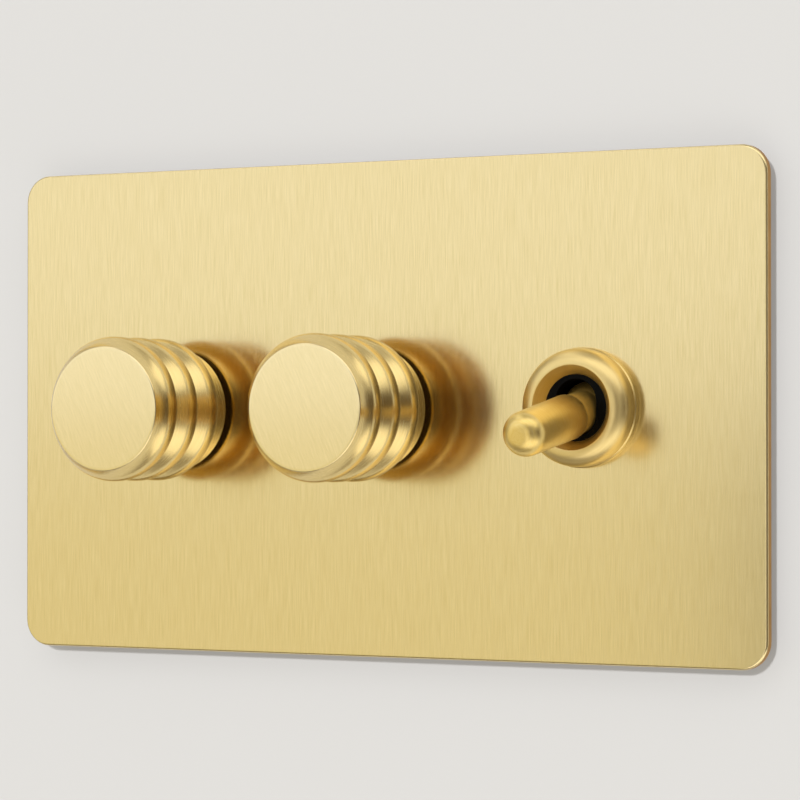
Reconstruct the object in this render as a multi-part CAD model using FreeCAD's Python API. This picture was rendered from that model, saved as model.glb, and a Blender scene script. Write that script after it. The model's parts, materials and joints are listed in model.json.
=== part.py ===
import FreeCAD, Part
import math
import os
from FreeCAD import Vector

# A brass wall plate with two push-and-turn dimmers and a dolly switch, in mm.
# The origin lies on the wall at the middle of the plate: X runs to the right, Y into the wall, Z up.
# The front faces -Y, so a place further forward has a smaller y.

# Fits
running_gap = 0.05
thread_gap = 0.1
pocket_gap = 0.1
free_gap = 0.3

# Front plate and the row of controls
plate_w = 146.0
plate_h = 86.0
plate_t = 1.5
plate_corner = 4.8
plate_edge = 0.45
row_margin = 33.0
least_corner = 0.4

# Steel grid plate that the wall box carries, and the frame that spaces the front plate off the wall
grid_gap = 0.4
grid_t = 1.0
grid_play = 0.8
grid_corner = 3.0
box_margin = 12.7
box_slot_w = 4.0
box_slot_len = 8.0
spacer_inset = 2.2
spacer_wall = 2.4
lip_w = 2.4
lip_t = 1.0

# Bush nuts and washers
nut_t = 1.8
nut_flats = 14.0
washer_t = 0.4
washer_rim = 2.4
washer_split = 1.0

# Dimmer bush, spindle and knob
bush_d = 10.0
bush_reach = 3.4
bush_flange_d = 14.0
bush_flange_t = 1.2
spindle_d = 6.0
spindle_flat = 1.0
spindle_grip = 8.0
spindle_tail = 1.0
push_travel = 1.0
knob_gap = 1.3
knob_len = 23.1
knob_face_d = 21.6
knob_crests = 3
crest_pitch = 6.65
crest_rise = 1.75
crest_slope = 38.0
crest_round = 2.6
crest_land = 0.7
crest_edge = 0.12
knob_bevel = 0.25
recess_depth = 8.0
recess_room = 0.7
insert_len = 9.2
insert_wall = 1.5
insert_rib = 0.5

# Dimmer module
dimmer_w = 32.0
dimmer_h = 46.0
case_wall = 1.6
case_corner = 2.0
heat_t = 1.5
peg_d = 2.8
peg_boss_wall = 0.9
peg_boss_len = 5.0
cup_d = 19.0
cup_wall = 1.0
cup_depth = 5.8
track_t = 1.0
wiper_w = 2.0
plunger_disc_d = 7.0
plunger_disc_t = 1.2
plunger_stem_d = 4.0
plunger_stem_len = 5.8
switch_w = 14.0
switch_t = 7.4
switch_floor = 1.4
spring_pocket_depth = 3.5
spring_wire_d = 0.5
spring_turns = 4.0
wire_sides = 8
board_t = 1.6
ledge_w = 1.0
ledge_t = 1.0
cover_t = 2.0
spigot_len = 2.0
spigot_wall = 1.8
part_margin = 1.6
part_gap = 0.8
choke_ring = 3.5
choke_t = 6.0
choke_edge = 1.2
capacitor_h = 5.0
capacitor_t = 10.0
capacitor_edge = 1.0
triac_tab_len = 6.5
triac_t = 4.5
triac_tab_t = 1.3
triac_hole_d = 3.6
triac_lead_w = 0.8
triac_lead_pitch = 2.5
triac_lead_reach = 1.8
triac_lead_gap = 0.25
triac_tab_gap = 2.05
triac_cup_gap = 0.7
triac_wall_gap = 1.2

# Screw terminals
wire_way = 3.4
terminal_wall = 1.5
terminal_thread = 3.1
terminal_len = 7.2
terminal_pitch = 8.5
screw_d = 2.9
screw_tip = 0.2
screw_head_d = 5.0
screw_head_t = 2.0
screw_slot_w = 0.7
screw_slot_t = 0.8
pin_d = 1.2
tower_wall = 1.6
tower_floor = 0.4
earth_gap = 1.5
earth_peg_d = 3.0

# Bezel ring and dolly
bezel_flange_d = 20.2
bezel_flange_t = 1.15
bezel_d = 19.8
bezel_h = 5.2
bezel_round = 2.7
bezel_land = 0.1
throat_d = 11.2
throat_depth = 2.0
dolly_bush_d = 12.0
dolly_bush_front = 1.6
dolly_bush_wall = 1.3
dolly_bush_flange_d = 17.0
dolly_bush_flange_t = 1.5
dolly_nut_flats = 17.0
pivot_depth = 2.7
pivot_pin_d = 2.0
pin_inset = 0.3
ball_gap = 0.15
neck_d = 6.9
neck_len = 9.1
dolly_rear_d = 7.7
dolly_d = 7.5
dolly_taper_len = 16.1
dolly_nose_flat_d = 2.0
dolly_edge = 0.35
tail_d = 6.0
tail_len = 7.5
tail_bore_d = 3.4
tail_bore_len = 5.5
dolly_spring_len = 2.6
dolly_spring_wire_d = 0.4
dolly_spring_turns = 4.0
plunger_len = 4.9
dolly_tilt = 10.0

# Dolly switch module
bracket_t = 1.0
bracket_h = 20.0
bracket_arm = 13.4
bracket_tab = 1.0
toggle_w = 22.0
toggle_h = 34.0
toggle_wall = 1.8
toggle_corner = 1.5
toggle_floor = 2.0
rocker_w = 5.2
rocker_len = 16.8
rocker_t = 0.8
rocker_corner = 1.3
rocker_tilt = 5.0
rocker_gap = 0.03
contact_z = 6.8
contact_d = 3.2
contact_t = 0.7
contact_gap = 0.05
pad_d = 3.6
pad_t = 1.8
post_d = 2.5
cheek_t = 0.6
knife_half = 1.6

# Planes and places that follow from the sizes
grid_back = -grid_gap
grid_front = grid_back - grid_t
plate_back = grid_front - washer_t - nut_t
plate_front = plate_back - plate_t
control_pitch = plate_w / 2 - row_margin
box_spacing = plate_w - 2 * box_margin
dimmer_places = {"left": -control_pitch, "middle": 0.0}
dolly_x = control_pitch
spindle_r = spindle_d / 2
spindle_bore_r = spindle_r + running_gap
bush_r = bush_d / 2
bush_hole_r = bush_r + thread_gap
dolly_bush_r = dolly_bush_d / 2
dolly_hole_r = dolly_bush_r + thread_gap
nut_corner_r = nut_flats / 2 / math.cos(math.radians(30))

knob_back = plate_front - knob_gap
knob_front = knob_back - knob_len
knob_root_r = knob_face_d / 2
recess_r = nut_corner_r + recess_room
recess_floor = knob_back - recess_depth
insert_r = spindle_bore_r + insert_wall
insert_front = recess_floor - insert_len
spindle_front = recess_floor - spindle_grip

heat_back = grid_back + heat_t
bush_back = heat_back + bush_flange_t
cup_front = bush_back
cup_back = cup_front + cup_depth
rotor_front = cup_front + cup_wall + free_gap
rotor_back = cup_back - track_t - free_gap
spindle_back = cup_back + spindle_tail
plunger_disc_back = spindle_back + plunger_disc_t
switch_front = plunger_disc_back + push_travel + free_gap
spring_seat = switch_front + spring_pocket_depth
board_front = switch_front + switch_t
board_back = board_front + board_t
cover_front = board_back + spigot_len
cover_back = cover_front + cover_t
case_inner_w = dimmer_w - 2 * case_wall
case_inner_h = dimmer_h - 2 * case_wall
case_inner_corner = max(case_corner - case_wall, least_corner)
peg_boss = peg_d + 2 * peg_boss_wall
peg_x = case_inner_w / 2 - peg_boss / 2
peg_z = case_inner_h / 2 - peg_boss / 2
boss_edge = case_inner_w / 2 - peg_boss

# The choke and the capacitor share the board above the push switch, the triac lies below the cup
part_room_w = case_inner_w / 2 - part_margin - part_gap
part_room_h = case_inner_h / 2 - part_margin - switch_w / 2 - part_gap
choke_d = min(part_room_w, part_room_h)
capacitor_w = part_room_w
triac_left = triac_tab_gap - boss_edge
triac_bend = boss_edge - triac_lead_gap
triac_right = triac_bend - triac_lead_reach
triac_top = -cup_d / 2 - triac_cup_gap
triac_bottom = triac_wall_gap - case_inner_h / 2

screw_hole_r = screw_d / 2 + thread_gap
screw_head_room_r = screw_head_d / 2 + 2 * pocket_gap
terminal_w = wire_way + 2 * terminal_wall
screw_seat = wire_way / 2 + terminal_thread
terminal_far = wire_way / 2 + terminal_wall
tower_bottom = -dimmer_h / 2 + case_wall
tower_wire_z = tower_bottom + tower_wall + pocket_gap + screw_seat
tower_back = cover_back + tower_floor + terminal_len + pocket_gap
earth_x = control_pitch / 2
earth_z = -dimmer_h / 2 - earth_gap - terminal_len / 2

bezel_front = plate_front - bezel_h
throat_y = bezel_front + throat_depth
dolly_bush_face = throat_y + running_gap
pivot_y = plate_front + pivot_depth
dolly_bore_r = dolly_bush_r - dolly_bush_wall
ball_r = dolly_bore_r - ball_gap
bracket_back = grid_back + bracket_t
plunger_r = tail_bore_d / 2 - pocket_gap
plunger_start = tail_len - tail_bore_len + dolly_spring_len
plunger_tip = plunger_start + plunger_len
rocker_front = pivot_y + plunger_tip + plunger_r + rocker_gap
rocker_back = rocker_front + rocker_t
contact_reach = contact_z + contact_d / 2
pad_front = (rocker_back + contact_reach * math.sin(math.radians(rocker_tilt))
             + contact_t * math.cos(math.radians(rocker_tilt)) + contact_gap)
toggle_floor_front = pad_front + pad_t
toggle_floor_back = toggle_floor_front + toggle_floor
toggle_back = toggle_floor_back + terminal_len + pocket_gap
toggle_terminal_z = contact_z - post_d / 2 - pocket_gap + terminal_w / 2


# Shape helpers
def block(x, y, z):
    """Box from three (low, high) ranges."""
    return Part.makeBox(x[1] - x[0], y[1] - y[0], z[1] - z[0], Vector(x[0], y[0], z[0]))


def middle(size, at=0.0):
    """Range of a size centred on a place."""
    return (at - size / 2, at + size / 2)


def rod(radius, y, x=0.0, z=0.0):
    """Cylinder along Y over a (low, high) range."""
    return Part.makeCylinder(radius, y[1] - y[0], Vector(x, y[0], z), Vector(0, 1, 0))


def cross_rod(radius, x, y, z):
    """Cylinder along X over a (low, high) range."""
    return Part.makeCylinder(radius, x[1] - x[0], Vector(x[0], y, z), Vector(1, 0, 0))


def upright_rod(radius, x, y, z):
    """Cylinder along Z over a (low, high) range."""
    return Part.makeCylinder(radius, z[1] - z[0], Vector(x, y, z[0]), Vector(0, 0, 1))


def slab(width, height, corner, y, x=0.0, z=0.0):
    """Rounded rectangle facing Y, over a (low, high) range of y."""
    solid = block(middle(width, x), y, middle(height, z))
    along = [e for e in solid.Edges if e.BoundBox.YLength > (y[1] - y[0]) / 2]
    return solid.makeFillet(corner, along)


def hexagon(flats, y, x=0.0):
    """Hex prism along Y with two flats level with the floor."""
    corner = flats / 2 / math.cos(math.radians(30))
    turns = [math.radians(60 * k) for k in range(7)]
    ring = [Vector(x + corner * math.cos(a), y[0], corner * math.sin(a)) for a in turns]
    return Part.Face(Part.makePolygon(ring)).extrude(Vector(0, y[1] - y[0], 0))


def turned(start, *steps):
    """Solid of revolution about Y. A step is a (radius, y) point, or a pair of them for an arc."""
    def point(p):
        return Vector(p[0], p[1], 0)

    edges = []
    here = start
    for step in steps + (start,):
        if isinstance(step[0], tuple):
            via, end = step
            edges.append(Part.Arc(point(here), point(via), point(end)).toShape())
        else:
            end = step
            edges.append(Part.LineSegment(point(here), point(end)).toShape())
        here = end
    return Part.Face(Part.Wire(edges)).revolve(Vector(0, 0, 0), Vector(0, 1, 0), 360)


def coil(wire_d, mean_r, turns, y):
    """Helical spring along Y that fills a (low, high) range. Its wire has flats, which mesh cleanly."""
    rise = y[1] - y[0] - wire_d
    path = Part.makeHelix(rise / turns, rise, mean_r)
    corners = [math.radians(360 * k / wire_sides) for k in range(wire_sides + 1)]
    section = Part.makePolygon([Vector(mean_r + wire_d / 2 * math.cos(a), 0, wire_d / 2 * math.sin(a))
                                for a in corners])
    spring = Part.Wire(path).makePipeShell([section], True, True)
    spring.rotate(Vector(0, 0, 0), Vector(1, 0, 0), -90)
    spring.translate(Vector(0, y[0] + wire_d / 2, 0))
    return spring


def flatted_rod(radius, flat, y):
    """Rod along Y with one flat on top, as a D-shaft has."""
    return rod(radius, y).common(block((-radius, radius), y, (-radius, radius - flat)))


def moved(shape, x=0.0, y=0.0, z=0.0):
    """Copy of a shape, shifted."""
    copy = shape.copy()
    copy.translate(Vector(x, y, z))
    return copy


def tilted(shape, angle, y):
    """Copy of a shape, turned about the X line through a depth, so that its front goes down."""
    copy = shape.copy()
    copy.rotate(Vector(0, y, 0), Vector(1, 0, 0), angle)
    return copy


# Plate, grid and spacer
def front_plate():
    plate = slab(plate_w, plate_h, plate_corner, (plate_front, plate_back))
    rim = [e for e in plate.Edges if e.BoundBox.YMax < plate_front + plate_t / 2]
    plate = plate.makeFillet(min(plate_edge, plate_t / 2), rim)
    through = (plate_front, plate_back)
    for x in dimmer_places.values():
        plate = plate.cut(rod(bush_hole_r, through, x))
    return plate.cut(rod(dolly_hole_r, through, dolly_x))


def grid_outline():
    border = 2 * (spacer_inset + spacer_wall + grid_play)
    return plate_w - border, plate_h - border


def grid_plate():
    width, height = grid_outline()
    through = (grid_front, grid_back)
    plate = slab(width, height, grid_corner, through)
    for x in dimmer_places.values():
        plate = plate.cut(rod(bush_hole_r, through, x))
    plate = plate.cut(rod(dolly_hole_r, through, dolly_x))
    plate = plate.cut(rod(earth_peg_d / 2 + pocket_gap, through, earth_x, earth_z))
    for x in (-box_spacing / 2, box_spacing / 2):
        run = box_slot_len - box_slot_w
        plate = plate.cut(block(middle(run, x), through, middle(box_slot_w)))
        for end in middle(run, x):
            plate = plate.cut(rod(box_slot_w / 2, through, end))
    return plate.removeSplitter()


def spacer_frame():
    outer_w = plate_w - 2 * spacer_inset
    outer_h = plate_h - 2 * spacer_inset
    outer_corner = max(plate_corner - spacer_inset, least_corner)
    inner_w = outer_w - 2 * spacer_wall
    inner_h = outer_h - 2 * spacer_wall
    frame = slab(outer_w, outer_h, outer_corner, (plate_back, 0.0))
    frame = frame.cut(slab(inner_w, inner_h, grid_corner, (plate_back, 0.0)))
    lip_y = (grid_front - lip_t, grid_front)
    lip = slab(inner_w + spacer_wall, inner_h + spacer_wall, grid_corner, lip_y)
    lip = lip.cut(slab(inner_w - 2 * lip_w, inner_h - 2 * lip_w, grid_corner, lip_y))
    return frame.fuse(lip).removeSplitter()


# Fasteners
def bush_nut(front, x):
    span = (front, front + nut_t)
    return hexagon(nut_flats, span, x).cut(rod(bush_hole_r, span, x))


def bush_nuts():
    nuts = []
    for x in dimmer_places.values():
        nuts += [bush_nut(plate_front - nut_t, x), bush_nut(plate_back, x)]
    return Part.makeCompound(nuts)


def lock_washers():
    span = (grid_front - washer_t, grid_front)
    outer = bush_hole_r + washer_rim
    washers = []
    for x in dimmer_places.values():
        ring = rod(outer, span, x).cut(rod(bush_hole_r, span, x))
        washers.append(ring.cut(block(middle(washer_split, x), span, (0.0, outer))))
    return Part.makeCompound(washers)


# A terminal stands with its wire way along Y from y = 0 and its screw coming up from below.
def terminal_block():
    cage = block(middle(terminal_w), (0.0, terminal_len), (-screw_seat, terminal_far))
    cage = cage.cut(block(middle(wire_way), (terminal_wall, terminal_len), middle(wire_way)))
    hole = upright_rod(screw_hole_r, 0.0, terminal_len / 2, (-screw_seat, 0.0))
    return cage.cut(hole)


def terminal_screw():
    at = terminal_len / 2
    shank = upright_rod(screw_d / 2, 0.0, at, (-screw_seat, screw_tip - wire_way / 2))
    head = upright_rod(screw_head_d / 2, 0.0, at, (-screw_seat - screw_head_t, -screw_seat))
    slot_z = (-screw_seat - screw_head_t, -screw_seat - screw_head_t + screw_slot_t)
    slot = block(middle(screw_head_d), middle(screw_slot_w, at), slot_z)
    return head.cut(slot).fuse(shank).removeSplitter()


def on_tower(shape, x):
    return moved(shape, x, cover_back + tower_floor, tower_wire_z)


def on_toggle(shape, z):
    copy = shape.copy()
    copy.rotate(Vector(0, 0, 0), Vector(0, 1, 0), -90)
    return moved(copy, dolly_x, toggle_floor_back, z)


def on_grid(shape):
    copy = shape.copy()
    copy.rotate(Vector(0, 0, 0), Vector(1, 0, 0), 90)
    return moved(copy, earth_x, grid_back + terminal_far, earth_z - terminal_len / 2)


def tower_places():
    return (-terminal_pitch, 0.0, terminal_pitch)


def toggle_places():
    return {"lower": -toggle_terminal_z, "common": 0.0, "upper": toggle_terminal_z}


def terminal_screws():
    screw = terminal_screw()
    screws = [on_tower(screw, x + place) for x in dimmer_places.values() for place in tower_places()]
    screws += [on_toggle(screw, z) for z in toggle_places().values()]
    return Part.makeCompound(screws + [on_grid(screw)])


def earth_terminal():
    peg = rod(earth_peg_d / 2, (grid_front, grid_back), earth_x, earth_z)
    return on_grid(terminal_block()).fuse(peg).removeSplitter()


# Dimmer, built about the Y axis
def knob():
    slope = math.radians(crest_slope)
    crest_r = knob_root_r + crest_rise
    slope_rise = crest_rise - crest_round * (1 - math.cos(slope))
    slope_len = slope_rise / math.tan(slope)
    steps = [(knob_root_r - knob_bevel, knob_front)]
    for k in range(knob_crests):
        start_y = knob_front + knob_bevel + k * crest_pitch
        land_y = start_y + slope_len + crest_round * math.sin(slope)
        back_y = land_y + crest_land + crest_edge
        via = (crest_r - crest_round * (1 - math.cos(slope / 2)), land_y - crest_round * math.sin(slope / 2))
        steps += [(knob_root_r, start_y), (knob_root_r + slope_rise, start_y + slope_len),
                  (via, (crest_r, land_y)), (crest_r, back_y - crest_edge), (crest_r - crest_edge, back_y),
                  (knob_root_r, back_y)]
    steps += [(knob_root_r, knob_back - knob_bevel), (knob_root_r - knob_bevel, knob_back),
              (recess_r, knob_back), (recess_r, recess_floor), (insert_r, recess_floor),
              (insert_r, insert_front), (0.0, insert_front)]
    return turned((0.0, knob_front), *steps)


def knob_insert():
    sleeve = rod(insert_r, (insert_front, recess_floor))
    bore_y = (spindle_front - running_gap, recess_floor)
    bore = flatted_rod(spindle_bore_r, spindle_flat, bore_y)
    grooves = [block(middle(insert_rib, s * insert_r), bore_y, middle(insert_rib)) for s in (-1, 1)]
    return sleeve.cut(bore).cut(grooves[0]).cut(grooves[1]).removeSplitter()


def spindle():
    flat_end = recess_floor + push_travel
    tail_start = rotor_front - push_travel - free_gap
    front = flatted_rod(spindle_r, spindle_flat, (spindle_front, flat_end))
    shank = rod(spindle_r, (flat_end, tail_start))
    tail = flatted_rod(spindle_r, spindle_flat, (tail_start, spindle_back))
    return front.fuse(shank).fuse(tail).removeSplitter()


def dimmer_bush():
    front = plate_front - bush_reach
    bevel = thread_gap + free_gap
    flange_r = bush_flange_d / 2
    return turned((spindle_bore_r, front), (bush_r - bevel, front), (bush_r, front + bevel),
                  (bush_r, heat_back), (flange_r, heat_back), (flange_r, bush_back),
                  (spindle_bore_r, bush_back))


def heat_plate():
    through = (grid_back, heat_back)
    plate = slab(dimmer_w, dimmer_h, case_corner, through).cut(rod(bush_hole_r, through))
    for x in (-peg_x, peg_x):
        for z in (-peg_z, peg_z):
            plate = plate.cut(rod(peg_d / 2 + pocket_gap, through, x, z))
    return plate


def dimmer_case():
    span = (heat_back, cover_front)
    shell = slab(dimmer_w, dimmer_h, case_corner, span)
    shell = shell.cut(slab(case_inner_w, case_inner_h, case_inner_corner, span))
    ledge_y = (board_front - ledge_t, board_front)
    ledge = slab(case_inner_w + case_wall, case_inner_h + case_wall, case_inner_corner, ledge_y)
    shell = shell.fuse(ledge.cut(block(middle(case_inner_w - 2 * ledge_w), ledge_y,
                                       middle(case_inner_h - 2 * ledge_w))))
    boss_y = (heat_back, heat_back + peg_boss_len)
    for side_x in (-1, 1):
        for side_z in (-1, 1):
            boss = block(middle(peg_boss + case_wall, side_x * (peg_x + case_wall / 2)), boss_y,
                         middle(peg_boss + case_wall, side_z * (peg_z + case_wall / 2)))
            boss = boss.common(slab(dimmer_w, dimmer_h, case_corner, boss_y))
            peg = rod(peg_d / 2, (grid_back, heat_back + case_wall), side_x * peg_x, side_z * peg_z)
            shell = shell.fuse(boss).fuse(peg)
    return shell.removeSplitter()


def back_cover():
    spigot_w = case_inner_w - 2 * pocket_gap
    spigot_h = case_inner_h - 2 * pocket_gap
    spigot_y = (board_back, cover_front)
    cover = slab(dimmer_w, dimmer_h, case_corner, (cover_front, cover_back))
    spigot = slab(spigot_w, spigot_h, case_inner_corner, spigot_y)
    spigot = spigot.cut(block(middle(spigot_w - 2 * spigot_wall), spigot_y,
                              middle(spigot_h - 2 * spigot_wall)))
    tower_w = 2 * (terminal_pitch + terminal_w / 2 + pocket_gap + tower_wall)
    tower_top = tower_wire_z + terminal_far + pocket_gap + tower_wall
    tower = block(middle(tower_w), (cover_back, tower_back), (tower_bottom, tower_top))
    cover = cover.fuse(spigot).fuse(tower)
    for x in tower_places():
        pocket_z = (tower_wire_z - screw_seat - pocket_gap, tower_wire_z + terminal_far + pocket_gap)
        pocket_y = (cover_back + tower_floor, tower_back)
        cover = cover.cut(block(middle(terminal_w + 2 * pocket_gap, x), pocket_y, pocket_z))
        screw_y = cover_back + tower_floor + terminal_len / 2
        cover = cover.cut(upright_rod(screw_head_room_r, x, screw_y, (tower_bottom, tower_wire_z)))
        cover = cover.cut(rod(pin_d / 2 + pocket_gap, (cover_front, pocket_y[0]), x, pin_z()))
    return cover.removeSplitter()


def pin_z():
    return tower_wire_z - wire_way / 2 - terminal_thread / 2


def dimmer_terminals(x):
    pin = rod(pin_d / 2, (board_front, cover_back + tower_floor), 0.0, pin_z())
    cage = on_tower(terminal_block(), 0.0).fuse(pin).removeSplitter()
    return Part.makeCompound([moved(cage, x + place) for place in tower_places()])


def potentiometer_cup():
    inner_r = cup_d / 2 - cup_wall
    hole_r = spindle_r + free_gap
    return turned((hole_r, cup_front), (cup_d / 2, cup_front), (cup_d / 2, cup_back),
                  (inner_r, cup_back), (inner_r, cup_front + cup_wall), (hole_r, cup_front + cup_wall))


def track_disc():
    span = (cup_back - track_t, cup_back)
    return rod(cup_d / 2 - cup_wall, span).cut(rod(spindle_r + free_gap, span))


def wiper_rotor():
    rotor_r = cup_d / 2 - cup_wall - free_gap
    hub_r = spindle_bore_r + cup_wall
    span = (rotor_front, rotor_back)
    web_back = rotor_front + cup_wall
    rotor = rod(rotor_r, (rotor_front, web_back)).fuse(rod(hub_r, span))
    finger_y = (rotor_front, cup_back - track_t - pocket_gap)
    reach = (rotor_r + hub_r) / 2
    for side in (-1, 1):
        rotor = rotor.fuse(block(middle(wiper_w, side * reach), finger_y, middle(wiper_w)))
    return rotor.cut(flatted_rod(spindle_bore_r, spindle_flat - running_gap, span)).removeSplitter()


def push_plunger():
    disc = rod(plunger_disc_d / 2, (spindle_back, plunger_disc_back))
    stem = rod(plunger_stem_d / 2, (plunger_disc_back, plunger_disc_back + plunger_stem_len))
    return disc.fuse(stem).removeSplitter()


def spring_pocket_r():
    return plunger_disc_d / 2 - pocket_gap


def push_switch():
    body = slab(switch_w, switch_w, case_corner, (switch_front, board_front))
    body = body.cut(rod(spring_pocket_r(), (switch_front, spring_seat)))
    bore_r = plunger_stem_d / 2 + running_gap
    return body.cut(rod(bore_r, (spring_seat, board_front - switch_floor)))


def return_spring():
    inner = plunger_stem_d / 2 + running_gap
    mean_r = (inner + spring_pocket_r()) / 2
    return coil(spring_wire_d, mean_r, spring_turns, (plunger_disc_back, spring_seat))


def circuit_board():
    span = (board_front, board_back)
    board = slab(case_inner_w - 2 * pocket_gap, case_inner_h - 2 * pocket_gap, case_inner_corner, span)
    for x in tower_places():
        board = board.cut(rod(pin_d / 2 + pocket_gap, span, x, pin_z()))
    return board


def choke():
    inner, outer = choke_d / 2 - choke_ring, choke_d / 2
    top, bottom = board_front - choke_t, board_front
    ring = turned((inner + choke_edge, top), (outer - choke_edge, top), (outer, top + choke_edge),
                  (outer, bottom - choke_edge), (outer - choke_edge, bottom),
                  (inner + choke_edge, bottom), (inner, bottom - choke_edge), (inner, top + choke_edge))
    return moved(ring, -parts_x(choke_d), 0.0, parts_z(choke_d))


def parts_x(width):
    return case_inner_w / 2 - part_margin - width / 2


def parts_z(height):
    return case_inner_h / 2 - part_margin - height / 2


def capacitor():
    span = (board_front - capacitor_t, board_front)
    return slab(capacitor_w, capacitor_h, capacitor_edge, span, parts_x(capacitor_w), parts_z(choke_d))


def triac():
    rows = (triac_bottom, triac_top)
    mid_z = (triac_bottom + triac_top) / 2
    tab_y = (heat_back, heat_back + triac_tab_t)
    tab = block((triac_left, triac_right), tab_y, rows)
    tab = tab.cut(rod(triac_hole_d / 2, tab_y, triac_left + triac_tab_len / 2, mid_z))
    body = block((triac_left + triac_tab_len, triac_right), (heat_back, heat_back + triac_t), rows)
    device = tab.fuse(body)
    lead_y = heat_back + triac_t / 2
    for k in (-1, 0, 1):
        z = middle(triac_lead_w, mid_z + k * triac_lead_pitch)
        device = device.fuse(block((triac_right, triac_bend), (lead_y, lead_y + triac_lead_w), z))
        device = device.fuse(block((triac_bend - triac_lead_w, triac_bend), (lead_y, board_front), z))
    return device.removeSplitter()


# Dolly switch, built about the Y axis
def bezel_ring():
    outer = bezel_d / 2
    thread = dolly_bush_r + thread_gap
    shoulder = bezel_front + bezel_round
    crown = outer - bezel_round
    mouth = crown - bezel_land
    along = bezel_round * math.sqrt(0.5)
    arc = ((crown + along, shoulder - along), (crown, bezel_front))
    flange = bezel_flange_d / 2
    flange_front = plate_front - bezel_flange_t
    return turned((thread, plate_front), (flange, plate_front), (flange, flange_front),
                  (outer, flange_front), (outer, shoulder), arc,
                  (mouth, bezel_front), (throat_d / 2, throat_y), (thread, throat_y))


def dolly_bush():
    flange = dolly_bush_flange_d / 2
    flange_back = bracket_back + dolly_bush_flange_t
    wall_back = dolly_bush_face + dolly_bush_front
    bush = turned((0.0, dolly_bush_face), (dolly_bush_r, dolly_bush_face),
                  (dolly_bush_r, bracket_back), (flange, bracket_back), (flange, flange_back),
                  (dolly_bore_r, flange_back), (dolly_bore_r, wall_back), (0.0, wall_back))
    neck_r = neck_d / 2
    swing = (pivot_y - dolly_bush_face) * math.tan(math.radians(dolly_tilt))
    lean = neck_r / math.cos(math.radians(dolly_tilt)) - neck_r
    slot_r = neck_r + free_gap
    wall = (dolly_bush_face, wall_back)
    bush = bush.cut(block(middle(2 * slot_r), wall, middle(2 * (swing + lean))))
    for z in middle(2 * (swing + lean)):
        bush = bush.cut(rod(slot_r, wall, 0.0, z))
    pin = cross_rod(pivot_pin_d / 2, middle(dolly_bush_d), pivot_y, 0.0)
    return bush.cut(pin).removeSplitter()


def dolly_nut():
    span = (plate_back, grid_front)
    return hexagon(dolly_nut_flats, span).cut(rod(dolly_hole_r, span))


def pivot_pin():
    return cross_rod(pivot_pin_d / 2, middle(dolly_bush_d - 2 * pin_inset), pivot_y, 0.0)


def dolly():
    def ahead(radius, distance):
        return radius, pivot_y - distance

    neck_r, rear_r, body_r = neck_d / 2, dolly_rear_d / 2, dolly_d / 2
    flat_r = dolly_nose_flat_d / 2
    nose_start = neck_len + dolly_taper_len
    nose_r = body_r - flat_r
    bend = nose_r * math.sqrt(0.5)
    nose = (ahead(flat_r + bend, nose_start + bend), ahead(flat_r, nose_start + nose_r))
    ball_neck = math.sqrt(ball_r ** 2 - neck_r ** 2)
    ball_tail = math.sqrt(ball_r ** 2 - (tail_d / 2) ** 2)
    lever = turned(ahead(0.0, nose_start + nose_r), ahead(0.0, -tail_len), ahead(tail_d / 2, -tail_len),
                   ahead(tail_d / 2, -ball_tail), (ahead(ball_r, 0.0), ahead(neck_r, ball_neck)),
                   ahead(neck_r, neck_len), ahead(rear_r - dolly_edge, neck_len),
                   ahead(rear_r, neck_len + dolly_edge), ahead(body_r, nose_start), nose)
    lever = lever.cut(rod(tail_bore_d / 2, (pivot_y + tail_len - tail_bore_len, pivot_y + tail_len)))
    lever = lever.cut(cross_rod(pivot_pin_d / 2 + running_gap, middle(dolly_bush_d), pivot_y, 0.0))
    return tilted(lever, dolly_tilt, pivot_y)


def dolly_spring():
    start = pivot_y + tail_len - tail_bore_len
    mean_r = plunger_r - dolly_spring_wire_d / 2
    spring = coil(dolly_spring_wire_d, mean_r, dolly_spring_turns, (start, start + dolly_spring_len))
    return tilted(spring, dolly_tilt, pivot_y)


def dolly_plunger():
    start = pivot_y + plunger_start
    tip = pivot_y + plunger_tip
    bend = plunger_r * math.sqrt(0.5)
    dome = ((bend, tip + bend), (0.0, tip + plunger_r))
    plunger = turned((0.0, start), (plunger_r, start), (plunger_r, tip), dome)
    return tilted(plunger, dolly_tilt, pivot_y)


def contact_rocker():
    strip = slab(rocker_w, rocker_len, rocker_corner, (rocker_front, rocker_back))
    for z in (-contact_z, contact_z):
        strip = strip.fuse(rod(contact_d / 2, (rocker_back, rocker_back + contact_t), 0.0, z))
    return tilted(strip.removeSplitter(), -rocker_tilt, rocker_back)


def dolly_bracket():
    outer_w = toggle_w + 2 * (pocket_gap + bracket_t)
    inner_w = toggle_w + 2 * pocket_gap
    arm_end = grid_back + bracket_arm
    rows = middle(bracket_h)
    bracket = block(middle(outer_w), (grid_back, arm_end), rows)
    bracket = bracket.cut(block(middle(inner_w), (bracket_back, arm_end - bracket_t), rows))
    mouth = toggle_w - 2 * bracket_tab
    bracket = bracket.cut(block(middle(mouth), (arm_end - bracket_t, arm_end), rows))
    return bracket.cut(rod(dolly_hole_r, (grid_back, bracket_back)))


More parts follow.
